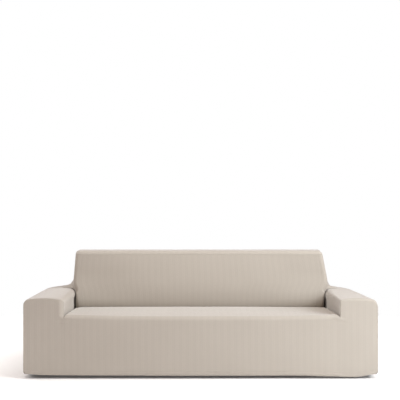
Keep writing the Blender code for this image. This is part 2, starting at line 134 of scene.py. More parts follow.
# ---- Arms ----
ARM_BOW = 0.8  # arch of the top: fall for each square metre off its crest
ARM_CREST_FRONT = 1.065  # how far across the crest lies
ARM_CREST_REAR = 1.01
FRONT_ROLL_LENGTH = 0.03  # length over which the top rolls down to the front
REAR_ROUND_RATE = 2  # the inner edge's round changes over half the arm's length,
REAR_ROUND_WAIT = 0.4  # from a fifth of the way back
OUTER_ROUND = 0.03
FACE_END = 0.36  # the inner face runs on into the crevice to here
TURN_FOOT = 0.385  # the inner front edge is flat below this
TURN_GROWS = 0.04
TURN_SHARE = 0.97  # of the quarter turn lies on the arm's front
TURN_REACH = 0.06  # the inner face gives way to it over this length
NEAR_INNER_EDGE = (0, 0.03, 0.1, 0.25, 0.45, 0.7)  # shares of its round
NEAR_OUTER_EDGE = (0, 0.03, 0.1, 0.25, 0.4, 0.55, 0.75)  # shares of the hem's lip

# ---- Back ----
SEAM_HEIGHT = 0.7885  # of the top seam
TOP_SEAM = 0.0006
TOP_RISE = 0.029  # from the seam to the top
BACK_FOOT = 0.3975
BACK_LEAN = 0.19  # metres back for each metre up
FOOT_BELLY = 0.021  # the back swells forward just above the seat
MIDDLE_BELLY_LOSS = 0.6  # share of that swell lost in the middle
FOOT_FULL = 0.065  # above the crease, where the swell is full,
FOOT_FADE = 0.2  # and the height over which it then fades
BACK_BULGE = 0.022  # the back's front is fullest below its middle
BULGE_REACH = 0.3  # share of the width at either side that runs out flat
BULGE_UP = 0.85  # power: below 1 it moves the fullest place down
EDGE_ROUND_LOW = 0.016  # round of the back's front edges, at the crease
EDGE_ROUND_HIGH = 0.03
EDGE_ROUND_REACH = 0.15
TOP_EDGE_ROUND = 0.04
ROUND = 2  # power of the curve at the padded top's end: a plain round one,
SQUARE = 8  # and a nearly square one
SQUARE_FADE = 1.5  # how soon the square end turns round again toward the front
LOW_TOP = 0.504  # the crevice runs up to here, and has closed at WING_FOOT
CREVICE_TOP = 0.5235  # from here the back's side spreads out over the arm,
CREVICE_SPREAD = 0.06  # over this height
WING_FOOT = 0.5325  # where the back's cloth lies down on the arm's
SIDE_LOW = 0.612  # the back's side is straight from here to the top seam
FILLET_TOP = 0.64  # end of the curve from the arm up into the back's side
SPREAD_START = 0.19  # toward the rear that curve reaches further out
SPREAD_LENGTH = 0.15
SPREAD = 0.12
FILLET_STEPS = 18
NEAR_REAR_CORNER = (0, 0.03, 0.1, 0.25, 0.4, 0.7)  # shares of the hem's lip

# The two sides are fitted a little unevenly.
# arm_inner: how far across the arm's inner face lies
# inner_round, rear_round: radius of its top edge, at the front and the rear
# front_crown, rear_crown: height of the arm's crest, at the front and the rear
# roll_inner, roll_outer: how far the arm's top rolls down over its front edge
# front_turn: how roundly the arm's front turns into its inner face, above the seat
# back_foot, back_low, back_top: how far across the back's side lies, at three heights
# top_round, top_square: reach of the padded top's end, and how square it is at the rear
# crevice_foot, crevice_top, crevice_depth: width of the crevice between the back's side
#     and the arm, in the crease and just under the arm's top, and its depth
# crevice_bow: how far the arm's cloth gives way beside it
# seat_puff, seat_fall: how far the seat stands up and sags beside the arm
Side = namedtuple("Side", "name sign arm_inner inner_round rear_round front_crown rear_crown "
                          "roll_inner roll_outer front_turn back_foot back_low back_top top_round "
                          "top_square crevice_foot crevice_top crevice_depth crevice_bow "
                          "seat_puff seat_fall")
LEFT = Side("left", -1, 0.927, 0.028, 0.036, 0.536, 0.535, 0.003, 0.003, 0.036,
            0.9265, 0.944, 0.933, 0.022, 0, 0.064, 0.024, 0.1, 0.008, 0.004, 0.008)
RIGHT = Side("right", +1, 0.944, 0.016, 0.046, 0.533, 0.5285, 0.004, 0.014, 0.005,
             0.9435, 0.967, 0.938, 0.05, 1, 0.07, 0.012, 0.13, 0.007, 0.009, 0.003)
CREVICE_TURN = 1.9  # how gently the back's front turns into the crevice
CREVICE_MOUTH = 0.09  # in front of the crease, where the arm gives way
GIVE_HEIGHT = 0.03  # below its edge, where it has given way in full
GUSSET_INSET = 0.045  # from the back's side to the seam on its front,
GUSSET_FLAT = 0.006  # and at its foot from the turn into the crevice
GUSSET_BEND = 0.3  # height over which the one becomes the other

# A spot on a panel's outline: which stretch of it, and how far along, from 0 to 1.
Spot = namedtuple("Spot", "zone t")
# A column of the seat or of the outer back. Its measure depends on its zone. "edge" is
# the distance in from the seat's edge, or a share of the turn at the padded top's end.
# "middle" is a share of the stretch between the edges, "arm" a distance across, and
# "fillet" a share of the curve from the arm up into the back.
Column = namedtuple("Column", "zone side measure")


# ---- Small helpers ----
def mix(a, b, t):
    return a + (b - a) * t


def clamp(t):
    return min(max(t, 0), 1)


def smooth(t):
    t = clamp(t)
    return t * t * (3 - 2 * t)


def side_at(x):
    return LEFT if x < 0 else RIGHT


def quarter(t):
    """A share of a quarter turn, in radians."""
    return radians(90 * t)


def corner_drop(into, radius):
    """How far a round corner has fallen, `into` metres past the start of its curve."""
    into = min(max(into, 0), radius)
    return radius - sqrt(radius * radius - into * into)


def spots(*stretches, start=1):
    """Spots along stretches of cloth. Each has a zone, a rough length and a spacing."""
    found = []
    for zone, length, spacing in stretches:
        count = max(round(length / spacing), 2)
        found += [Spot(zone, i / count) for i in range(start, count + 1)]
        start = 1
    return found


def between(low, high, spacing):
    """Distances from low up to high, this spacing apart."""
    count = max(round((high - low) / spacing), 1)
    return [mix(low, high, i / count) for i in range(count + 1)]


def hem_rows(spacing):
    """Rows from the hem's lip, under the edge and up through the stitched band."""
    return spots(("hem", HEM_TURN, spacing), ("band", HEM_BAND - HEM_ROLL, BAND_GRID), start=0)


# ---- Hem ----
def hem_point(t):
    """Distance in from the cloth's face, and height, from the lip up to the roll."""
    if t < LIP_SHARE:
        return mix(HEM_LIP, HEM_ROLL, t / LIP_SHARE), 0
    angle = quarter((t - LIP_SHARE) / (1 - LIP_SHARE))
    return HEM_ROLL * (1 - sin(angle)), HEM_ROLL * (1 - cos(angle))


def hem_level(to_corner, level=HEM_ELSEWHERE):
    """Height of the hem's lowest point, drawn up toward the corners."""
    return mix(HEM_CORNER, level, smooth(to_corner / HEM_CORNER_REACH))


def rise(row, level, top):
    """Height on a panel's upright face: in the hem's band, or above it up to the top."""
    if row.zone == "band":
        return level + mix(HEM_ROLL, HEM_BAND, row.t)
    return mix(HEM_BAND + level, top, row.t)


def hem_or_face(row, level, top, to_corner):
    """Distance in from an upright face, and height, in the hem or on the face above it."""
    if row.zone == "hem":
        inset, height = hem_point(row.t)
        return min(inset, max(to_corner - SEAM, 0)), height + level
    return 0, rise(row, level, top)


def front_hem_level(x):
    level = FRONT_HEM[0].height
    for here, there in zip(FRONT_HEM, FRONT_HEM[1:]):
        if x >= here.x:
            level = mix(here.height, there.height, smooth((x - here.x) / (there.x - here.x)))
    return hem_level(HALF_WIDTH - abs(x), level)


# ---- Form of the padded sofa under the cloth ----
def arm_height(side, across, y):
    back = (y - FRONT) / (REAR - FRONT)
    crest = mix(ARM_CREST_FRONT, ARM_CREST_REAR, back)
    height = mix(side.front_crown, side.rear_crown, back)
    height -= ARM_BOW * (across - crest) ** 2
    out = smooth((across - side.arm_inner) / (ARM_CREST_FRONT - side.arm_inner))
    into = (FRONT + FRONT_ROLL_LENGTH - y) / (FRONT_ROLL_LENGTH - RIM)
    height -= mix(side.roll_inner, side.roll_outer, out) * clamp(into) ** 2
    height -= corner_drop(across - (HALF_WIDTH - OUTER_ROUND), OUTER_ROUND)
    rearward = smooth(REAR_ROUND_RATE * back - REAR_ROUND_WAIT)
    inner_round = mix(side.inner_round, side.rear_round, rearward)
    height -= corner_drop(side.arm_inner + inner_round - across, inner_round)
    return height


def front_turn(side, across, z):
    """How far an arm's front has turned back toward its inner face."""
    radius = side.front_turn * smooth((z - TURN_FOOT) / TURN_GROWS)
    if radius < HAIR:
        return 0
    into = clamp((side.arm_inner + radius - across) / radius)
    return radius * (1 - sqrt(1 - (TURN_SHARE * into) ** 2))


def arm_face(side, y, z):
    """How far across an arm's inner face lies. It gives way beside the crevice."""
    back = smooth((y - CREASE + CREVICE_MOUTH) / CREVICE_MOUTH)
    edge = arm_height(side, side.arm_inner, y)
    return side.arm_inner + side.crevice_bow * back * smooth((edge - z) / GIVE_HEIGHT)


def seat_height(x, y):
    side = side_at(x)
    back = (y - FRONT) / (CREASE - FRONT)
    side_fall = SEAT_SIDE_FALL * (x / LEFT.arm_inner) ** CROWN_SPREAD * (1 - SIDE_FALL_FADE * clamp(back))
    by_arm = smooth(1 - (side.arm_inner - abs(x)) / SEAT_EDGE_REACH)
    puff = side.seat_puff * sin(pi * by_arm) * sin(pi * clamp(back))
    fall = side.seat_fall * by_arm * clamp(back) ** 2
    at_sides = SEAT_FRONT_HEIGHT - SEAT_REAR_FALL * back - side_fall + puff - fall
    before = clamp((SEAT_CREST - back) / SEAT_CREST)
    behind = clamp((back - SEAT_CREST) / (1 - SEAT_CREST))
    crowned = SEAT_CREST_HEIGHT - CREST_TO_FRONT * before ** CREST_CURVE - CREST_TO_REAR * behind ** 2
    return mix(crowned, at_sides, min(abs(x) / side.arm_inner, 1) ** CROWN_SPREAD)


def foot_belly(z):
    """How far the back swells forward above the crease, at its sides."""
    above = max(z - BACK_FOOT, 0)
    full = 1 - (1 - min(above / FOOT_FULL, 1)) ** 2
    return FOOT_BELLY * full * (1 - smooth((above - FOOT_FULL) / FOOT_FADE))


def back_face(z):
    """Depth of the back's front face where it meets the back's sides."""
    return CREASE + TUCK_GAP + BACK_LEAN * max(z - BACK_FOOT, 0) - foot_belly(z)


def back_bulge(share, z):
    """How far the back's middle stands out beyond its sides."""
    up = clamp((z - BACK_FOOT) / (SEAM_HEIGHT - BACK_FOOT))
    across = smooth(min(share, 1 - share) / BULGE_REACH)
    bulge = BACK_BULGE * sin(pi * up ** BULGE_UP)
    return across * (bulge - MIDDLE_BELLY_LOSS * foot_belly(z))


def edge_round(z):
    """How round the edge between the back's front and its side is at a height."""
    return mix(EDGE_ROUND_LOW, EDGE_ROUND_HIGH, smooth((z - BACK_FOOT) / EDGE_ROUND_REACH))


def back_side(side, z):
    """How far across the back's side lies at a height."""
    if z > SIDE_LOW:
        up = (z - SIDE_LOW) / (SEAM_HEIGHT - SIDE_LOW)
        return mix(side.back_low, side.back_top, up)
    return mix(side.back_foot, side.back_low, smooth((z - CREVICE_TOP) / CREVICE_SPREAD))


def crevice(side, z):
    """Width and depth of the crevice beside the back at a height, and how gently the
    back's front turns into it: 1 is a plain round edge, and more is gentler."""
    up = clamp((z - BACK_FOOT) / (LOW_TOP - BACK_FOOT))
    closing = smooth((z - LOW_TOP) / (WING_FOOT - LOW_TOP))
    width = mix(mix(side.crevice_foot, side.crevice_top, up), edge_round(z), closing)
    return width, mix(side.crevice_depth, edge_round(z), closing), mix(CREVICE_TURN, 1, closing)


def gusset_seam(side, z):
    """How far across the seam between the back's front and its gusset lies."""
    bent = smooth((z - BACK_FOOT) / GUSSET_BEND)
    return back_side(side, z) - mix(side.crevice_foot + GUSSET_FLAT, GUSSET_INSET, bent)


def spread(y):
    """How much further out the wing reaches over the arm at this depth."""
    return SPREAD * smooth((y - SPREAD_START) / SPREAD_LENGTH)


def wing_point(side, y, t):
    """Across and height on the curve from the arm's top up into the back's side."""
    edge = back_side(side, WING_FOOT) + spread(y)
    lap = mix(LAP_AT_CREVICE, LAP, smooth((y - LAP_FRONT) / LAP_FADE))
    foot = arm_height(side, edge, y) + lap
    z = mix(foot, FILLET_TOP, 1 - cos(quarter(t)))
    return back_side(side, z) + spread(y) * (1 - sin(quarter(t))), z


# ---- Relief of the fitted cloth ----
RIB_PITCH = 0.0465  # broad ribs, 46.5 mm apart
RIB_RELIEF = 0.00015
WAVER = 0.0007  # soft unevenness of the padding under the cloth
WAVER_SIZE = 0.3
SEAM_PULL = 0.0002
ARM_SEAM_PULL = 0.0012  # along the top of an arm's front
SEAM_PULL_WIDTH = 0.006
ARM_SEAM_DEPTH = 0.02  # that seam's place: this close behind the front
ARM_SEAM_DEPTH_FADE = 0.01
ARM_SEAM_HEIGHT = 0.505  # and above this height
ARM_SEAM_HEIGHT_FADE = 0.015
PUCKER_SIZE = 0.018
PUCKER_SHARE = 0.5  # of the pull that comes and goes along the seam
CREASE_REACH = 3  # widths away a crease has faded out altogether
CREASE_TIP = 0.08  # share of its smooth rise cut off at either end

# A soft trough (negative) or ridge (positive) from start to end over the cloth, in
# millimetres. The width is from its middle line to where it has faded to a third.
Crease = namedtuple("Crease", "start end width height")
CREASES = [Crease(Vector(start) * MM, Vector(end) * MM, width * MM, height * MM)
           for start, end, width, height in (
    # short wrinkles where the back's side turns over onto the left arm
    ((-934, 190, 553), (-941, 200, 604), 4.5, -1.6),
    ((-925, 178, 548), (-930, 185, 590), 5, 1.2),
    ((-896, 178, 514), (-882, 182, 546), 5, -1.6),
    ((-880, 178, 508), (-868, 184, 538), 6, 1.2),
    # and onto the right one
    ((903, 180, 512), (921, 186, 548), 5.5, -1.8),
    ((917, 178, 505), (934, 184, 536), 5.5, 1.6),
    ((886, 180, 520), (900, 188, 552), 6, 1),
    # the right arm's inner edge is stuffed unevenly
    ((950, -240, 524), (950, -110, 524), 16, 3),
    ((950, -70, 524), (950, 50, 524), 15, 4),
    ((948, -95, 520), (956, -80, 532), 9, -2),
    # a fold drawn out of the right tuck, round onto the arm's front
    ((890, -150, 414), (920, -432, 412), 10, 5),
    ((912, -444, 404), (968, -450, 388), 8, 4.2),
    ((935, -450, 382), (985, -450, 370), 10, -2.2),
    # a fainter one out of the left tuck
    ((-890, -400, 412), (-935, -448, 396), 8, 3.2),
    ((-920, -450, 388), (-968, -450, 380), 7, -2.6),
    ((-900, -450, 376), (-945, -450, 366), 9, 2),
    # long shallow drag lines in the drop below the tucks
    ((900, -450, 370), (780, -450, 290), 30, -0.8),
    ((-905, -450, 370), (-800, -450, 300), 28, -0.7),
    # the outer sides of the arms and the rear hang a little fuller low down
    ((-1200, -250, 110), (-1200, 240, 150), 50, 1.2),
    ((1200, -200, 140), (1200, 280, 110), 50, 1.2),
    ((-700, 450, 180), (200, 450, 140), 60, 1.4),
    ((-960, 450, 520), (-820, 450, 640), 22, -1.4),
    ((985, 450, 515), (850, 450, 630), 22, -1.4),
)]


def crease_relief(point):
    total = 0
    for crease in CREASES:
        run = crease.end - crease.start
        along = clamp((point - crease.start).dot(run) / run.length_squared)
        away = (point - crease.start - run * along).length / crease.width
        if away < CREASE_REACH:
            length_share = mix(CREASE_TIP, 1 - CREASE_TIP, along)
            total += crease.height * exp(-away * away) * sin(pi * length_share)
    return total


def hem_relief(height):
    """The line pulled in by the hem's stitches, and the fuller double cloth below it."""
    off_line = (height - HEM_STITCHED) / STITCH_GROOVE_WIDTH
    puff = HEM_PUFF * smooth(height / HEM_ROLL) * smooth((HEM_STITCHED - height) / HEM_PUFF_FADE)
    return puff - STITCH_GROOVE * exp(-off_line * off_line)


def seam_relief(point, from_seam):
    """Close to a seam the cloth is drawn in a little, unevenly, by its stitches."""
    near = exp(-(from_seam / SEAM_PULL_WIDTH) ** 2)
    pucker = 1 + PUCKER_SHARE * noise.noise(point / PUCKER_SIZE)
    at_front = smooth((FRONT + ARM_SEAM_DEPTH - point.y) / ARM_SEAM_DEPTH_FADE)
    at_top = smooth((point.z - ARM_SEAM_HEIGHT) / ARM_SEAM_HEIGHT_FADE)
    return -mix(SEAM_PULL, ARM_SEAM_PULL, at_front * at_top) * near * pucker


def relief(point, rib_place, from_seam, in_band):
    waver = noise.noise(point / WAVER_SIZE) * WAVER
    rib = RIB_RELIEF * cos(2 * pi * rib_place / RIB_PITCH)
    lift = waver + rib + crease_relief(point) + seam_relief(point, from_seam)
    return lift + hem_relief(in_band) if in_band >= 0 else lift


# ---- Making a panel ----
def running_length(points):
    """How far along a line of points each one lies."""
    lengths = [0]
    for here, there in zip(points, points[1:]):
        lengths.append(lengths[-1] + (Vector(there) - Vector(here)).length)
    return lengths


def add_object(name, data):
    holder = bpy.data.objects.new(name, data)
    bpy.context.scene.collection.objects.link(holder)
    return holder


def add_mesh(name, bm, material):
    """A new object from a finished bmesh."""
    mesh = bpy.data.meshes.new(name)
    bm.to_mesh(mesh)
    bm.free()
    mesh.materials.append(material)
    return add_object(name, mesh)


def sew_panel(name, columns, rows, place, cloth, outside, rib_row, rib_column=0.5,
              keep=lambda *cell: True):
    """Lay a grid of cloth on the form, cut it to shape and give it relief and thickness.

    keep(column, next_column, row, next_row) says whether a cell is cloth, and
    place(column, row) gives a point's location. outside is a location well in front of
    the panel's face. The cloth's own measure, its UV map, runs along rib_row and
    rib_column, both shares of the way through the rows and the columns.
    """
    across_cells = len(columns) - 1
    along_cells = len(rows) - 1
    middle_row = rows[round(rib_row * along_cells)]
    middle_column = columns[round(rib_column * across_cells)]
    u_places = running_length([place(column, middle_row) for column in columns])
    v_places = running_length([place(middle_column, row) for row in rows])
    u_middle = u_places[round(rib_column * across_cells)]

    outside = Vector(outside)
    bm = bmesh.new()
    # a square of side 1, so that a corner's place says which column and row it is
    bmesh.ops.create_grid(bm, x_segments=across_cells, y_segments=along_cells, size=0.5)
    uv = bm.loops.layers.uv.new("cloth")
    rib_place = bm.verts.layers.float.new("rib_place")
    in_band = bm.verts.layers.float.new("in_band")
    index = {}
    for v in bm.verts:
        index[v] = (round((v.co.x + 0.5) * across_cells), round((v.co.y + 0.5) * along_cells))
    offcuts = []
    for face in bm.faces:
        for loop in face.loops:
            i, j = index[loop.vert]
            loop[uv].uv = (u_places[i] - u_middle, v_places[j])
        i = min(index[v][0] for v in face.verts)
        j = min(index[v][1] for v in face.verts)
        if not keep(columns[i], columns[i + 1], rows[j], rows[j + 1]):
            offcuts.append(face)
    for v, (i, j) in index.items():
        v.co = place(columns[i], rows[j])
        v[rib_place] = u_places[i] - u_middle
        v[in_band] = mix(HEM_ROLL, HEM_BAND, rows[j].t) if rows[j].zone == "band" else -1
    bmesh.ops.delete(bm, geom=offcuts, context="FACES")
    bmesh.ops.remove_doubles(bm, verts=bm.verts, dist=WELD)
    bm.normal_update()
    nearest = min(bm.faces, key=lambda f: (f.calc_center_median() - outside).length)
    if nearest.normal.dot(outside - nearest.calc_center_median()) < 0:
        bmesh.ops.reverse_faces(bm, faces=bm.faces)
        bm.normal_update()
    rim = [v.co for v in bm.verts if v.is_boundary]
    seam_line = KDTree(len(rim))
    for number, co in enumerate(rim):
        seam_line.insert(co, number)
    seam_line.balance()
    lifts = []
    for v in bm.verts:
        from_seam = seam_line.find(v.co)[2]
        lifts.append((v, v.normal * relief(v.co, v[rib_place], from_seam, v[in_band])))
    for v, lift in lifts:
        v.co += lift
    for layer in ("rib_place", "in_band"):
        bm.verts.layers.float.remove(bm.verts.layers.float[layer])

    panel = add_mesh(name, bm, cloth)
    thickness = panel.modifiers.new("thickness", "SOLIDIFY")
    thickness.thickness = CLOTH
    thickness.offset = -1
    thickness.use_even_offset = True
    finish_mesh(panel)
    return panel


def finish_mesh(piece):
    """Apply a piece's modifiers and shade it smooth up to its sharp edges."""
    graph = bpy.context.evaluated_depsgraph_get()
    shaped = bpy.data.meshes.new_from_object(piece.evaluated_get(graph), depsgraph=graph)
    piece.modifiers.clear()
    piece.data = shaped
    shaped.name = piece.name
    shaped.shade_smooth()
    shaped.set_sharp_from_angle(angle=radians(SHARP_ANGLE))


# ---- Seat panel: hem, front drop, seat and tucked-in edges ----
def seat_edge(side, y):
    return arm_face(side, y, BACK_FOOT) - TUCK_GAP


def seat_rear(x):
    """Where the seat ends at the back: it runs on into the crevice at either side."""
    side = side_at(x)
    width, depth, power = crevice(side, BACK_FOOT)
    inset = side.back_foot - abs(x)
    if inset >= width:
        return CREASE
    turn = 1 - max(inset, 0) / width
    return CREASE + depth * (1 - sqrt(1 - turn * turn)) ** power


def seat_panel(cloth):
    columns = [Column("edge", LEFT, ring) for ring in TUCK_RINGS]
    shares = between(0, FINE_SHARE, FINEST_GRID / SEAT_MIDDLE)
    shares += between(FINE_SHARE, 1 - FINE_SHARE, GRID / SEAT_MIDDLE)[1:]
    shares += between(1 - FINE_SHARE, 1, FINEST_GRID / SEAT_MIDDLE)[1:]
    columns += [Column("middle", None, share) for share in shares]
    columns += [Column("edge", RIGHT, ring) for ring in reversed(TUCK_RINGS)]
    rows = hem_rows(GRID) + spots(("drop", 0.34, GRID), ("round", 0.07, FINE_GRID), ("top", 0.53, GRID))
    rows += [Spot("rear", ring) for ring in reversed(TUCK_RINGS)]

    def tuck_share(inset):
        into = clamp((TUCK_ROUND - inset) / TUCK_ROUND)
        return sqrt(1 - into * into)

    def front_round(x):
        from_arm = side_at(x).arm_inner - abs(x)
        return mix(SEAT_ROUND_END, SEAT_ROUND, smooth(from_arm / SEAT_ROUND_FADE))

    def face(x, z):
        belly = 1 - min(abs(x) / LEFT.arm_inner, 1) ** 2
        return FRONT - SEAT_BULGE * belly * sin(pi * z / SEAT_FRONT_HEIGHT)

    def place(column, row):
        y = FRONT
        if row.zone == "top":
            y = mix(FRONT + SEAT_ROUND, CREASE - TUCK_REACH, row.t)
        elif row.zone == "rear":
            y = CREASE - row.t
        if row.zone in ("hem", "band", "drop"):
            left_end = -(LEFT.arm_inner - FRONT_GAP)
            right_end = RIGHT.arm_inner - FRONT_GAP
        else:
            left_end = -seat_edge(LEFT, y)
            right_end = seat_edge(RIGHT, y)
        side_share = 1
        if column.zone == "middle":
            x = mix(left_end + TUCK_REACH, right_end - TUCK_REACH, column.measure)
        else:
            edge = left_end if column.side is LEFT else right_end
            x = edge - column.side.sign * column.measure
            side_share = tuck_share(column.measure)
        level = front_hem_level(x)
        edge_radius = front_round(x)
        shoulder = seat_height(x, FRONT + SEAT_ROUND) - edge_radius
        if row.zone == "hem":
            inset, height = hem_point(row.t)
            return (x, face(x, height) + inset, height + level)
        if row.zone in ("band", "drop"):
            z = rise(row, level, shoulder)
            return (x, face(x, z), z)
        if row.zone == "round":
            angle = quarter(row.t)
            depth = TUCK_DEPTH * (1 - side_share) * smooth(row.t)
            start = face(x, shoulder) - FRONT
            y = FRONT + start * (1 - row.t) + edge_radius * (1 - cos(angle))
            y += (SEAT_ROUND - edge_radius) * smooth(row.t)
            return (x, y, shoulder + edge_radius * sin(angle) - depth)
        far = seat_rear(x)
        rear_share = 1
        if row.zone == "top":
            y = mix(FRONT + SEAT_ROUND, far - TUCK_REACH, row.t)
        else:
            y = far - row.t
            rear_share = tuck_share(row.t)
        depth = TUCK_DEPTH * (1 - side_share * rear_share)
        return (x, y, seat_height(x, min(y, CREASE)) - depth)

    return sew_panel("seat_cloth", columns, rows, place, cloth,
        outside=(0, -3, 3), rib_row=0.3)


# ---- Arm panel: outer side, top and inner face ----
def to_corner(y):
    return min(y - FRONT, REAR - y)


def arm_panel(side, cloth):
    outer_top = HALF_WIDTH - OUTER_ROUND
    inner_top = side.arm_inner + side.rear_round
    rows = hem_rows(FINE_GRID) + spots(("side", 0.45, GRID), ("outer", 0.05, FINEST_GRID),
                                       ("top", outer_top - inner_top, FINE_GRID),
                                       ("inner", 0.07, FINEST_GRID), ("face", 0.15, FINE_GRID))
    columns = [FRONT + RIM, FRONT + 0.5 * HEM_ROLL] + between(FRONT + HEM_ROLL, FACE_END, FINE_GRID)
    columns += between(FACE_END, REAR - HEM_ROLL, FINE_GRID)[1:] + [REAR - 0.5 * HEM_ROLL, REAR - RIM]

    def keep(y, next_y, row, next_row):
        if row.zone == "hem" and next_row.zone == "hem":
            return min(to_corner(y), to_corner(next_y)) >= HEM_ROLL - HAIR
        if next_row.zone in ("inner", "face"):
            return next_y <= FACE_END + HAIR
        return True

    def place(y, row):
        if row.zone in ("hem", "band", "side"):
            top = arm_height(side, HALF_WIDTH, y)
            inset, z = hem_or_face(row, hem_level(to_corner(y)), top, to_corner(y))
            across = HALF_WIDTH - inset
        elif row.zone == "face":
            z = mix(arm_height(side, side.arm_inner, y), TUCK_FLOOR, row.t)
            across = arm_face(side, y, z)
        else:
            if row.zone == "outer":
                across = HALF_WIDTH - OUTER_ROUND * (1 - cos(quarter(row.t)))
            elif row.zone == "top":
                across = mix(outer_top, inner_top, row.t)
            else:
                across = inner_top - side.rear_round * sin(quarter(row.t))
            z = arm_height(side, across, y)
        if row.zone in ("top", "inner", "face"):
            y += front_turn(side, across, z) * clamp(1 - (y - FRONT) / TURN_REACH)
        return (side.sign * across, y, z)

    return sew_panel("arm_cloth_" + side.name, columns, rows, place, cloth, keep=keep,
        outside=(side.sign * 4, -1, 3), rib_row=0.3)


# ---- Arm front ----
def arm_front(side, cloth):
    inner_end = side.arm_inner + side.inner_round
    columns = [mix(side.arm_inner, inner_end, share) for share in NEAR_INNER_EDGE]
    columns += between(inner_end, HALF_WIDTH - HEM_LIP, FINEST_GRID)
    columns += [HALF_WIDTH - HEM_LIP * share for share in reversed(NEAR_OUTER_EDGE)]
    rows = hem_rows(FINEST_GRID) + spots(("front", 0.47, FINEST_GRID))

    def keep(across, next_across, row, next_row):
        if row.zone == "hem" and next_row.zone == "hem":
            return next_across <= HALF_WIDTH - HEM_ROLL + HAIR
        return True

    def place(across, row):
        level = front_hem_level(side.sign * across)
        inset, z = hem_or_face(row, level, arm_height(side, across, FRONT), HALF_WIDTH - across)
        return (side.sign * across, FRONT + inset + front_turn(side, across, z), z)

    return sew_panel("arm_front_cloth_" + side.name, columns, rows, place, cloth, keep=keep,
        outside=(side.sign, -4, 0.3), rib_row=0.5)


# ---- Inside back: the leaning front, up to the top seam ----
def back_rows():
    return spots(("tuck", 0.033, FINE_GRID), ("low", 0.107, FINE_GRID), ("lap", 0.03, FINEST_GRID),
                 ("fillet", 0.15, FINE_GRID), ("upper", 0.15, FINE_GRID), start=0)


BACK_LEVELS = {
    "tuck": (TUCK_FLOOR, BACK_FOOT),
    "low": (BACK_FOOT, LOW_TOP),
    "lap": (LOW_TOP, WING_FOOT),
    "fillet": (WING_FOOT, FILLET_TOP),
    "upper": (FILLET_TOP, SEAM_HEIGHT - TOP_SEAM),
}


def back_level(row):
    """Height of a row where it crosses the back's front."""
    low, high = BACK_LEVELS[row.zone]
    return mix(low, high, 1 - cos(quarter(row.t)) if row.zone == "fillet" else row.t)


def inside_back(cloth):
    columns = spots(("face", 1.83, FINE_GRID), start=0)

    def place(column, row):
        z = back_level(row)
        x = mix(-gusset_seam(LEFT, z), gusset_seam(RIGHT, z), column.t)
        return (x, back_face(z) - back_bulge(column.t, z), z)

    return sew_panel("inside_back_cloth", columns, back_rows(), place, cloth,
        outside=(0, -4, 1), rib_row=0.9)


# ---- Back gusset: round the end of the back and onto the arm ----
def back_gusset(side, cloth):
    rear_rim = REAR - RIM
    columns = spots(("flat", 0.02, FINEST_GRID), start=0)[:-1]
    columns += spots(("edge", 0.13, FINEST_GRID), ("wing", 0.26, FINEST_GRID), start=0)

    def keep(column, next_column, row, next_row):
        return next_column.zone in ("flat", "edge") or next_row.zone in ("fillet", "upper")

    def place(column, row):
        z = back_level(row)
        foot_share = row.t if row.zone == "fillet" else 0
        if column.zone == "wing":
            y = mix(back_face(z) + edge_round(z), rear_rim, column.t)
            across = back_side(side, z)
            if row.zone in ("lap", "fillet"):
                across, z = wing_point(side, y, foot_share)
            return (side.sign * across, y, z)
        width, depth, power = crevice(side, z)
        if column.zone == "flat":
            across = mix(gusset_seam(side, z) + SEAM, back_side(side, z) - width, column.t)
            return (side.sign * across, back_face(z), z)
        angle = quarter(column.t)
        across = back_side(side, z) - width * (1 - sin(angle))
        y = back_face(z) + depth * (1 - cos(angle)) ** power
        if row.zone in ("lap", "fillet"):
            foot = wing_point(side, y, foot_share)[1]
            if row.zone == "lap":
                foot = mix(LOW_TOP, foot, row.t)
            z = mix(z, foot, smooth(column.t))
        return (side.sign * across, y, z)

    return sew_panel("back_gusset_cloth_" + side.name, columns, back_rows(), place, cloth, keep=keep,
        outside=(side.sign * 3, -3, 1), rib_row=0.9, rib_column=0.3)


# ---- Outside back: over the top and down the whole rear ----
def round_corner(from_side, from_front, radius):
    """Bend a square corner of the plan to a round one, ring by ring."""
    ring = min(from_side, from_front)
    if max(from_side, from_front) >= radius:
        return from_side, from_front
    along_side = from_side <= from_front
    far = from_front if along_side else from_side
    angle = radians(45) * (radius - far) / (radius - ring)
    near_way = radius - (radius - ring) * cos(angle)
    far_way = radius - (radius - ring) * sin(angle)
    return (near_way, far_way) if along_side else (far_way, near_way)


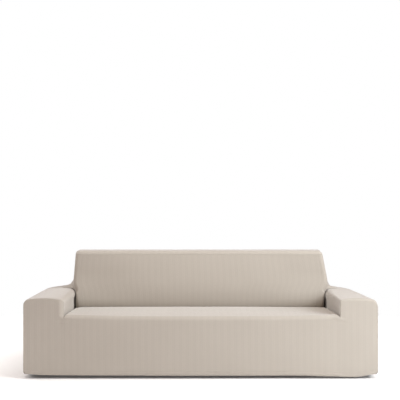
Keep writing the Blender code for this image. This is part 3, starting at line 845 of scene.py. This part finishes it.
def outside_back(cloth):
    rear_rim = REAR - RIM

    def behind_arm(side):
        foot = back_side(side, WING_FOOT) + SPREAD
        outer = [HALF_WIDTH - HEM_LIP * share for share in NEAR_REAR_CORNER]
        insets = between(0, HALF_WIDTH - HEM_LIP - foot, GRID)[:-1]
        top = [HALF_WIDTH - HEM_LIP - inset for inset in insets]
        flat = [Column("arm", side, across) for across in outer + top]
        return flat + [Column("fillet", side, i / FILLET_STEPS) for i in range(FILLET_STEPS)]

    def top_end(side):
        return [Column("edge", side, spot.t) for spot in spots(("edge", 0.048, FINEST_GRID), start=0)]

    def end_inset(column, squareness=ROUND):
        """How far in from the back's side a column of the padded top's end lies."""
        return column.side.top_round * (1 - cos(quarter(column.measure)) ** (2 / squareness))

    middle = [Column("middle", None, spot.t) for spot in spots(("middle", 1.79, COARSE_GRID))[:-1]]
    columns = behind_arm(LEFT) + top_end(LEFT) + middle
    columns += top_end(RIGHT)[::-1] + behind_arm(RIGHT)[::-1]
    rows = hem_rows(GRID) + spots(("low", 0.63, COARSE_GRID), ("upper", 0.11, GRID),
                                  ("rear round", 0.06, FINE_GRID), ("top", 0.13, GRID),
                                  ("front round", 0.06, FINE_GRID))

    def keep(column, next_column, row, next_row):
        pair = (column, next_column)
        if not any(c.zone in ("arm", "fillet") for c in pair):
            return True
        if next_row.zone == "hem":
            limit = HALF_WIDTH - HEM_ROLL + HAIR
            return not any(c.zone == "arm" and c.measure > limit for c in pair)
        return next_row.zone in ("band", "low")

    def upright(x, top, row):
        to_corner = HALF_WIDTH - abs(x)
        inset, z = hem_or_face(row, hem_level(to_corner), top, to_corner)
        return (x, REAR - inset, z)

    def over_the_top(column, row, x):
        """The padded top: how far it has risen, and its round corners in plan."""
        depth = REAR - back_face(SEAM_HEIGHT)
        if row.zone == "rear round":
            from_rear = TOP_EDGE_ROUND * (1 - cos(quarter(row.t)))
            row_share = sin(quarter(row.t))
        elif row.zone == "top":
            from_rear = mix(TOP_EDGE_ROUND, depth - TOP_EDGE_ROUND, row.t)
            row_share = 1
        else:
            from_rear = depth - TOP_EDGE_ROUND * (1 - sin(quarter(row.t)))
            row_share = cos(quarter(row.t))
        side_share = 1
        if column.zone == "edge":
            toward_rear = 1 - smooth(SQUARE_FADE * from_rear / depth)
            squareness = mix(ROUND, SQUARE, column.side.top_square * toward_rear)
            side_share = sin(quarter(column.measure)) ** (2 / squareness)
            from_front = depth - from_rear
            inset = end_inset(column, squareness)
            inset, from_front = round_corner(inset, from_front, EDGE_ROUND_HIGH)
            from_rear = depth - from_front
            x = column.side.sign * (back_side(column.side, SEAM_HEIGHT) - inset)
        height = TOP_RISE * row_share * side_share
        to_front = {"rear round": 0, "top": row.t, "front round": 1}[row.zone]
        return (x, REAR - from_rear + BACK_LEAN * height * to_front, SEAM_HEIGHT + height)

    def place(column, row):
        side = column.side
        if column.zone == "arm":
            return upright(side.sign * column.measure, arm_height(side, column.measure, rear_rim), row)
        if column.zone == "fillet":
            across, top = wing_point(side, rear_rim, column.measure)
            return upright(side.sign * across, top, row)

        z = SEAM_HEIGHT
        if row.zone in ("hem", "band", "low"):
            z = FILLET_TOP
        elif row.zone == "upper":
            z = mix(FILLET_TOP, SEAM_HEIGHT, row.t)
        if column.zone == "edge":
            x = side.sign * (back_side(side, z) - end_inset(column))
        else:
            left_end = -(back_side(LEFT, z) - LEFT.top_round)
            right_end = back_side(RIGHT, z) - RIGHT.top_round
            x = mix(left_end, right_end, column.measure)
        if row.zone in ("hem", "band", "low"):
            return upright(x, z, row)
        if row.zone == "upper":
            return (x, REAR, z)
        return over_the_top(column, row, x)

    return sew_panel("outside_back_cloth", columns, rows, place, cloth, keep=keep,
        outside=(0, 4, 0.5), rib_row=0.3)


# ---- Stitches of the hem ----
STITCH_PITCH = 0.006  # stitch and gap, half as long again as real ones, so that they show
STITCH_LENGTH = 0.0044
STITCH_WIDTH = 0.0011
STITCH_HEIGHT = 0.0008
STITCH_END = 0.006  # the row stops this far from a seam
STITCH_SIDES = 6
STITCH_RINGS = 4
OFF_CLOTH = 0.1  # from here outside the cloth its face is looked for


def sew_hem(panel, start, end, level_at, thread):
    """Stitch along a panel's hem between two points in plan, on the line pulled in for it."""
    mesh = panel.data
    surface = BVHTree.FromPolygons([v.co for v in mesh.vertices], [p.vertices for p in mesh.polygons])
    run = Vector(end) - Vector(start)
    along = run.normalized()
    outward = along.cross(Vector((0, 0, 1)))
    count = round((run.length - 2 * STITCH_END) / STITCH_PITCH)

    def on_cloth(distance):
        spot = Vector(start) + along * distance
        spot.z = level_at(spot) + HEM_STITCHED
        return surface.ray_cast(spot + OFF_CLOTH * outward, -outward)[:2]

    bm = bmesh.new()
    for place in range(count):
        middle = STITCH_END + STITCH_PITCH * (place + 0.5)
        first, first_normal = on_cloth(middle - 0.5 * STITCH_LENGTH)
        last, last_normal = on_cloth(middle + 0.5 * STITCH_LENGTH)
        lengthwise = (last - first).normalized()
        out = (first_normal + last_normal).normalized()
        upward = out.cross(lengthwise)
        turn = Matrix((lengthwise, upward, out)).transposed().to_4x4()
        size = Matrix.Diagonal((STITCH_LENGTH, STITCH_WIDTH, STITCH_HEIGHT, 1))
        there = Matrix.Translation((first + last) * 0.5) @ turn @ size
        bmesh.ops.create_uvsphere(bm, u_segments=STITCH_SIDES, v_segments=STITCH_RINGS, radius=0.5,
                                  matrix=there @ Matrix.Rotation(quarter(1), 4, "Y"))
    stitches = add_mesh(panel.name.replace("cloth", "hem_stitches"), bm, thread)
    stitches.data.shade_smooth()
    return stitches


# ---- Materials ----
def linear(hex_colour):
    """An sRGB hex colour as the linear values that Blender's sockets hold."""
    values = [int(hex_colour[i:i + 2], 16) / 255 for i in (1, 3, 5)]
    return tuple(v / 12.92 if v <= 0.04045 else ((v + 0.055) / 1.055) ** 2.4 for v in values) + (1,)


def set_inputs(tree, node, inputs):
    """Set a node's inputs to numbers or colours, or link them to sockets."""
    for name, value in inputs.items():
        if isinstance(value, bpy.types.NodeSocket):
            tree.links.new(value, node.inputs[name])
        else:
            node.inputs[name].default_value = value


def add_node(tree, kind, settings, inputs, output=None):
    """Add a node with its own settings and its inputs, and give back one of its outputs."""
    node = tree.nodes.new(kind)
    for name, value in settings.items():
        setattr(node, name, value)
    set_inputs(tree, node, inputs)
    return node if output is None else node.outputs[output]


# The sockets of a Mix node that mixes colours
MIX_SHARE = 0
MIX_FROM = 6
MIX_TO = 7
MIX_RESULT = 2
WAVE_TURN = 20  # radians that a Wave texture turns through in a metre at scale 1

FINE_RIB_PITCH = 0.0155
FINE_RIB_SHARE = 0.4  # of the shading is the fine ribs', the rest the broad ones',
LOOP_SHARE = 0.3  # and of that this much from the loops
FINE_RIB_BUMP = 0.00012
WALE_PITCH = 0.0052  # the columns of loops: four times the real 1.3 mm, so that they show
COURSE_PITCH = 0.004  # and the rows of loops, four times the real 1 mm
LOOP_BUMP = 0.00035
NAP_SIZE = 0.006  # tufts of the brushed surface
NAP_BUMP = 0.00015
DYE_SIZE = 0.25  # patches where the yarn has taken the dye unevenly
YARN_DEEP = "#AFA89E"
YARN_PALE = "#B4ADA3"
# share of the colour left in the furrows of the ribs and loops: painted shade
PAINTED_FURROW_SHADE = 0.95
NAP_GLOSSIEST = 0.84  # roughness of the cloth, which its nap varies
NAP_DULLEST = 0.93
PLY_PITCH = 0.0012
PLY_BUMP = 0.00008
# the thread between its plies and on their crests: painted shade and painted highlight
THREAD_PAINTED_SHADE = "#A59A8F"
THREAD_PAINTED_HIGHLIGHT = "#BDB3A8"


def new_material(name):
    material = bpy.data.materials.new(name)
    material.use_nodes = True
    return material, material.node_tree, material.node_tree.nodes["Principled BSDF"]


def ridges(tree, place, direction, pitch, wander, detail=1, detail_scale=1):
    """Soft ridges this pitch apart, in metres, that wander a little."""
    bands = {"Vector": place, "Scale": 2 * pi / (WAVE_TURN * pitch), "Distortion": wander,
             "Detail": detail, "Detail Scale": detail_scale}
    return add_node(tree, "ShaderNodeTexWave", {"bands_direction": direction}, bands, "Fac")


def patches(tree, place, size, detail):
    """Soft random patches about this size, in metres."""
    spread_out = {"Vector": place, "Scale": 1 / size, "Detail": detail}
    return add_node(tree, "ShaderNodeTexNoise", {}, spread_out, "Fac")


def bump(tree, height, distance, under=None):
    """Relief this high, in metres, on top of the relief under it."""
    inputs = {"Height": height, "Distance": distance}
    if under is not None:
        inputs["Normal"] = under
    return add_node(tree, "ShaderNodeBump", {}, inputs, "Normal")


def mix_colours(tree, share, low, high):
    return add_node(tree, "ShaderNodeMix", {"data_type": "RGBA"},
        {MIX_SHARE: share, MIX_FROM: linear(low), MIX_TO: linear(high)}, MIX_RESULT)


def rib_knit_cloth():
    """Polyester stretch jersey, knitted in faint upright ribs and brushed a little.

    It scatters nearly all its light, and its fine fibres brighten it at a glancing view.
    The yarn takes the dye a little unevenly, and the colour is painted darker in a rib's furrow than on
    its crest: painted shade in the furrows of the ribs and loops.
    """
    material, tree, shader = new_material("rib_knit_stretch_cloth")
    cloth_map = add_node(tree, "ShaderNodeUVMap", {"uv_map": "cloth"}, {}, "UV")
    ribs = ridges(tree, cloth_map, "X", RIB_PITCH, wander=0.7, detail_scale=0.3)
    fine_ribs = ridges(tree, cloth_map, "X", FINE_RIB_PITCH, wander=0.5, detail_scale=0.3)
    wales = ridges(tree, cloth_map, "X", WALE_PITCH, wander=0.6, detail_scale=2)
    courses = ridges(tree, cloth_map, "Y", COURSE_PITCH, wander=1, detail_scale=2)
    nap = patches(tree, cloth_map, NAP_SIZE, detail=3)
    dye = patches(tree, cloth_map, DYE_SIZE, detail=2)

    loops = add_node(tree, "ShaderNodeMath", {"operation": "MULTIPLY"}, {0: wales, 1: courses}, "Value")
    fine_relief = bump(tree, fine_ribs, FINE_RIB_BUMP)
    loop_relief = bump(tree, loops, LOOP_BUMP, fine_relief)
    nap_relief = bump(tree, nap, NAP_BUMP, loop_relief)

    crests = add_node(tree, "ShaderNodeMix", {},
        {"Factor": FINE_RIB_SHARE, "A": ribs, "B": fine_ribs}, "Result")
    crests = add_node(tree, "ShaderNodeMix", {},
        {"Factor": LOOP_SHARE, "A": crests, "B": loops}, "Result")
    yarn = mix_colours(tree, dye, YARN_DEEP, YARN_PALE)
    # painted shade: the colour is darkened in the furrows of the ribs and loops
    shade = add_node(tree, "ShaderNodeMapRange", {},
        {"Value": crests, "To Min": PAINTED_FURROW_SHADE, "To Max": 1}, "Result")
    colour = add_node(tree, "ShaderNodeVectorMath", {"operation": "SCALE"},
        {"Vector": yarn, "Scale": shade}, "Vector")
    dullness = add_node(tree, "ShaderNodeMapRange", {},
        {"Value": nap, "To Min": NAP_GLOSSIEST, "To Max": NAP_DULLEST}, "Result")
    set_inputs(tree, shader, {"Normal": nap_relief, "Base Color": colour, "Roughness": dullness,
                              "IOR": 1.5, "Specular IOR Level": 0.25,
                              "Sheen Weight": 0.6, "Sheen Roughness": 0.4})
    return material


def sewing_thread():
    """Spun polyester sewing thread in the cloth's colour: plied, so it catches a fine line of light,
    which its colour also paints: painted highlight on each ply's crest, painted shade between.
    """
    material, tree, shader = new_material("polyester_sewing_thread")
    place = add_node(tree, "ShaderNodeTexCoord", {}, {}, "Object")
    plies = ridges(tree, place, "DIAGONAL", PLY_PITCH, wander=0.3, detail=2)
    set_inputs(tree, shader, {"Normal": bump(tree, plies, PLY_BUMP),
                              # painted highlight and painted shade: the colour is paler on each ply's
                              # crest and deeper between
                              "Base Color": mix_colours(tree, plies, THREAD_PAINTED_SHADE, THREAD_PAINTED_HIGHLIGHT),
                              "Roughness": 0.55, "Sheen Weight": 0.1})
    return material


def floor_paint():
    """Matt white studio floor, lit from within more and more strongly toward its rim."""
    material, tree, shader = new_material("matt_white_floor")
    place = add_node(tree, "ShaderNodeTexCoord", {}, {}, "Object")
    away = add_node(tree, "ShaderNodeVectorMath", {"operation": "LENGTH"}, {0: place}, "Value")
    glow = add_node(tree, "ShaderNodeMapRange", {"interpolation_type": "SMOOTHSTEP"},
        {"Value": away, "From Min": FLOOR_GLOW_STARTS, "From Max": FLOOR_RADIUS,
         "To Min": FLOOR_GLOW_NEAR, "To Max": FLOOR_GLOW_RIM}, "Result")
    set_inputs(tree, shader, {"Base Color": linear(FLOOR_WHITE), "Roughness": FLOOR_ROUGHNESS,
                              "Specular IOR Level": 0, "Emission Color": linear(WHITE),
                              "Emission Strength": glow})
    return material


# ---- Studio ----
FRAME_PIXELS = 400
FOCAL_PIXELS = 868
SENSOR = 36  # millimetres
CAMERA_PLACE = (-0.116, -6.316, 1.1855)
CAMERA_SHIFT = (0.0413, 0.005)
FLOOR_LEVEL = -0.012
FLOOR_RADIUS = 3.4
FLOOR_SIDES = 96
FLOOR_WHITE = "#FAFAFA"
FLOOR_ROUGHNESS = 0.9
FLOOR_GLOW_STARTS = 1.3
FLOOR_GLOW_NEAR = 0.05
FLOOR_GLOW_RIM = 0.5


def add_camera():
    camera = bpy.data.cameras.new("camera")
    camera.sensor_width = SENSOR
    camera.lens = SENSOR * FOCAL_PIXELS / FRAME_PIXELS
    camera.shift_x, camera.shift_y = CAMERA_SHIFT
    holder = add_object("camera", camera)
    holder.location = CAMERA_PLACE
    holder.rotation_euler = (quarter(1), 0, 0)
    bpy.context.scene.camera = holder


def add_floor():
    bm = bmesh.new()
    bmesh.ops.create_circle(bm, cap_ends=True, segments=FLOOR_SIDES, radius=FLOOR_RADIUS)
    bmesh.ops.translate(bm, verts=bm.verts, vec=(0, 0, FLOOR_LEVEL))
    add_mesh("floor", bm, floor_paint())


Lamp = namedtuple("Lamp", "name place aim width height power colour")
LAMPS = (
    Lamp("key", (4.5, -3.5, 4), (0, 0, 0.4), 3, 3, 191, "#F6FBFF"),
    Lamp("over", (0, -0.5, 4.5), (0, 0, 0.4), 5, 3, 161, "#F6F9F6"),
    Lamp("near", (3, -2.2, 1.4), (0.3, 0, 0.3), 1.6, 1.6, 57, "#F4FCFF"),
    Lamp("low left", (-3.2, 1.1, 1.1), (-1.7, -0.4, 0), 1.4, 1.4, 28, "#F4FCFF"),
)
ROOM_COLOUR = "#FFDFD7"
ROOM_STRENGTH = 0.366
BACKDROP_STRENGTH = 1
WHITE = "#FFFFFF"


def add_light():
    for lamp in LAMPS:
        light = bpy.data.lights.new(lamp.name, "AREA")
        light.shape = "RECTANGLE"
        light.size = lamp.width
        light.size_y = lamp.height
        light.energy = lamp.power
        light.color = linear(lamp.colour)[:3]
        holder = add_object(lamp.name, light)
        holder.location = lamp.place
        aim = Vector(lamp.aim) - Vector(lamp.place)
        holder.rotation_euler = aim.to_track_quat("-Z", "Y").to_euler()
    add_room()
    bpy.context.scene.view_settings.view_transform = "Standard"


def add_room():
    """A white room that shows behind the cover, and lights it softly and a little warmly."""
    room = bpy.data.worlds.new("studio")
    room.use_nodes = True
    tree = room.node_tree
    tree.nodes.clear()
    soft_light = add_node(tree, "ShaderNodeBackground", {},
        {"Color": linear(ROOM_COLOUR), "Strength": ROOM_STRENGTH}, "Background")
    backdrop = add_node(tree, "ShaderNodeBackground", {},
        {"Color": linear(WHITE), "Strength": BACKDROP_STRENGTH}, "Background")
    seen = add_node(tree, "ShaderNodeLightPath", {}, {}, "Is Camera Ray")
    both = add_node(tree, "ShaderNodeMixShader", {}, {"Fac": seen, 1: soft_light, 2: backdrop}, "Shader")
    add_node(tree, "ShaderNodeOutputWorld", {}, {"Surface": both})
    bpy.context.scene.world = room


# ---- Dress the cover ----
def fit(panel, node, stitches=()):
    """A panel of the cover takes its plain solid's place."""
    for piece in (panel, *stitches):
        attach(piece, "root")
    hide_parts(node)


def front_level(spot):
    return front_hem_level(spot.x)


def side_level(spot):
    return hem_level(to_corner(spot.y))


def rear_level(spot):
    return hem_level(HALF_WIDTH - abs(spot.x))


def front_row(panel, left, right, thread):
    return sew_hem(panel, (left, FRONT, 0), (right, FRONT, 0), front_level, thread)


add_camera()
add_light()
add_floor()
cloth = rib_knit_cloth()
thread = sewing_thread()

seat = seat_panel(cloth)
seat_row = front_row(seat, -LEFT.arm_inner, RIGHT.arm_inner, thread)
fit(seat, "seat_panel", stitches=(seat_row,))
for arm_side in (LEFT, RIGHT):
    outer = arm_side.sign * HALF_WIDTH
    inner = arm_side.sign * arm_side.arm_inner
    panel = arm_panel(arm_side, cloth)
    ends = [(outer, REAR, 0), (outer, FRONT, 0)]
    if arm_side is RIGHT:
        ends.reverse()
    side_row = sew_hem(panel, ends[0], ends[1], side_level, thread)
    fit(panel, "arm_panel_" + arm_side.name, stitches=(side_row,))
    panel = arm_front(arm_side, cloth)
    end_row = front_row(panel, min(outer, inner), max(outer, inner), thread)
    fit(panel, "arm_front_" + arm_side.name, stitches=(end_row,))
    fit(back_gusset(arm_side, cloth), "back_gusset_" + arm_side.name)
fit(inside_back(cloth), "inside_back")
rear = outside_back(cloth)
rear_row = sew_hem(rear, (HALF_WIDTH, REAR, 0), (-HALF_WIDTH, REAR, 0), rear_level, thread)
fit(rear, "outside_back", stitches=(rear_row,))
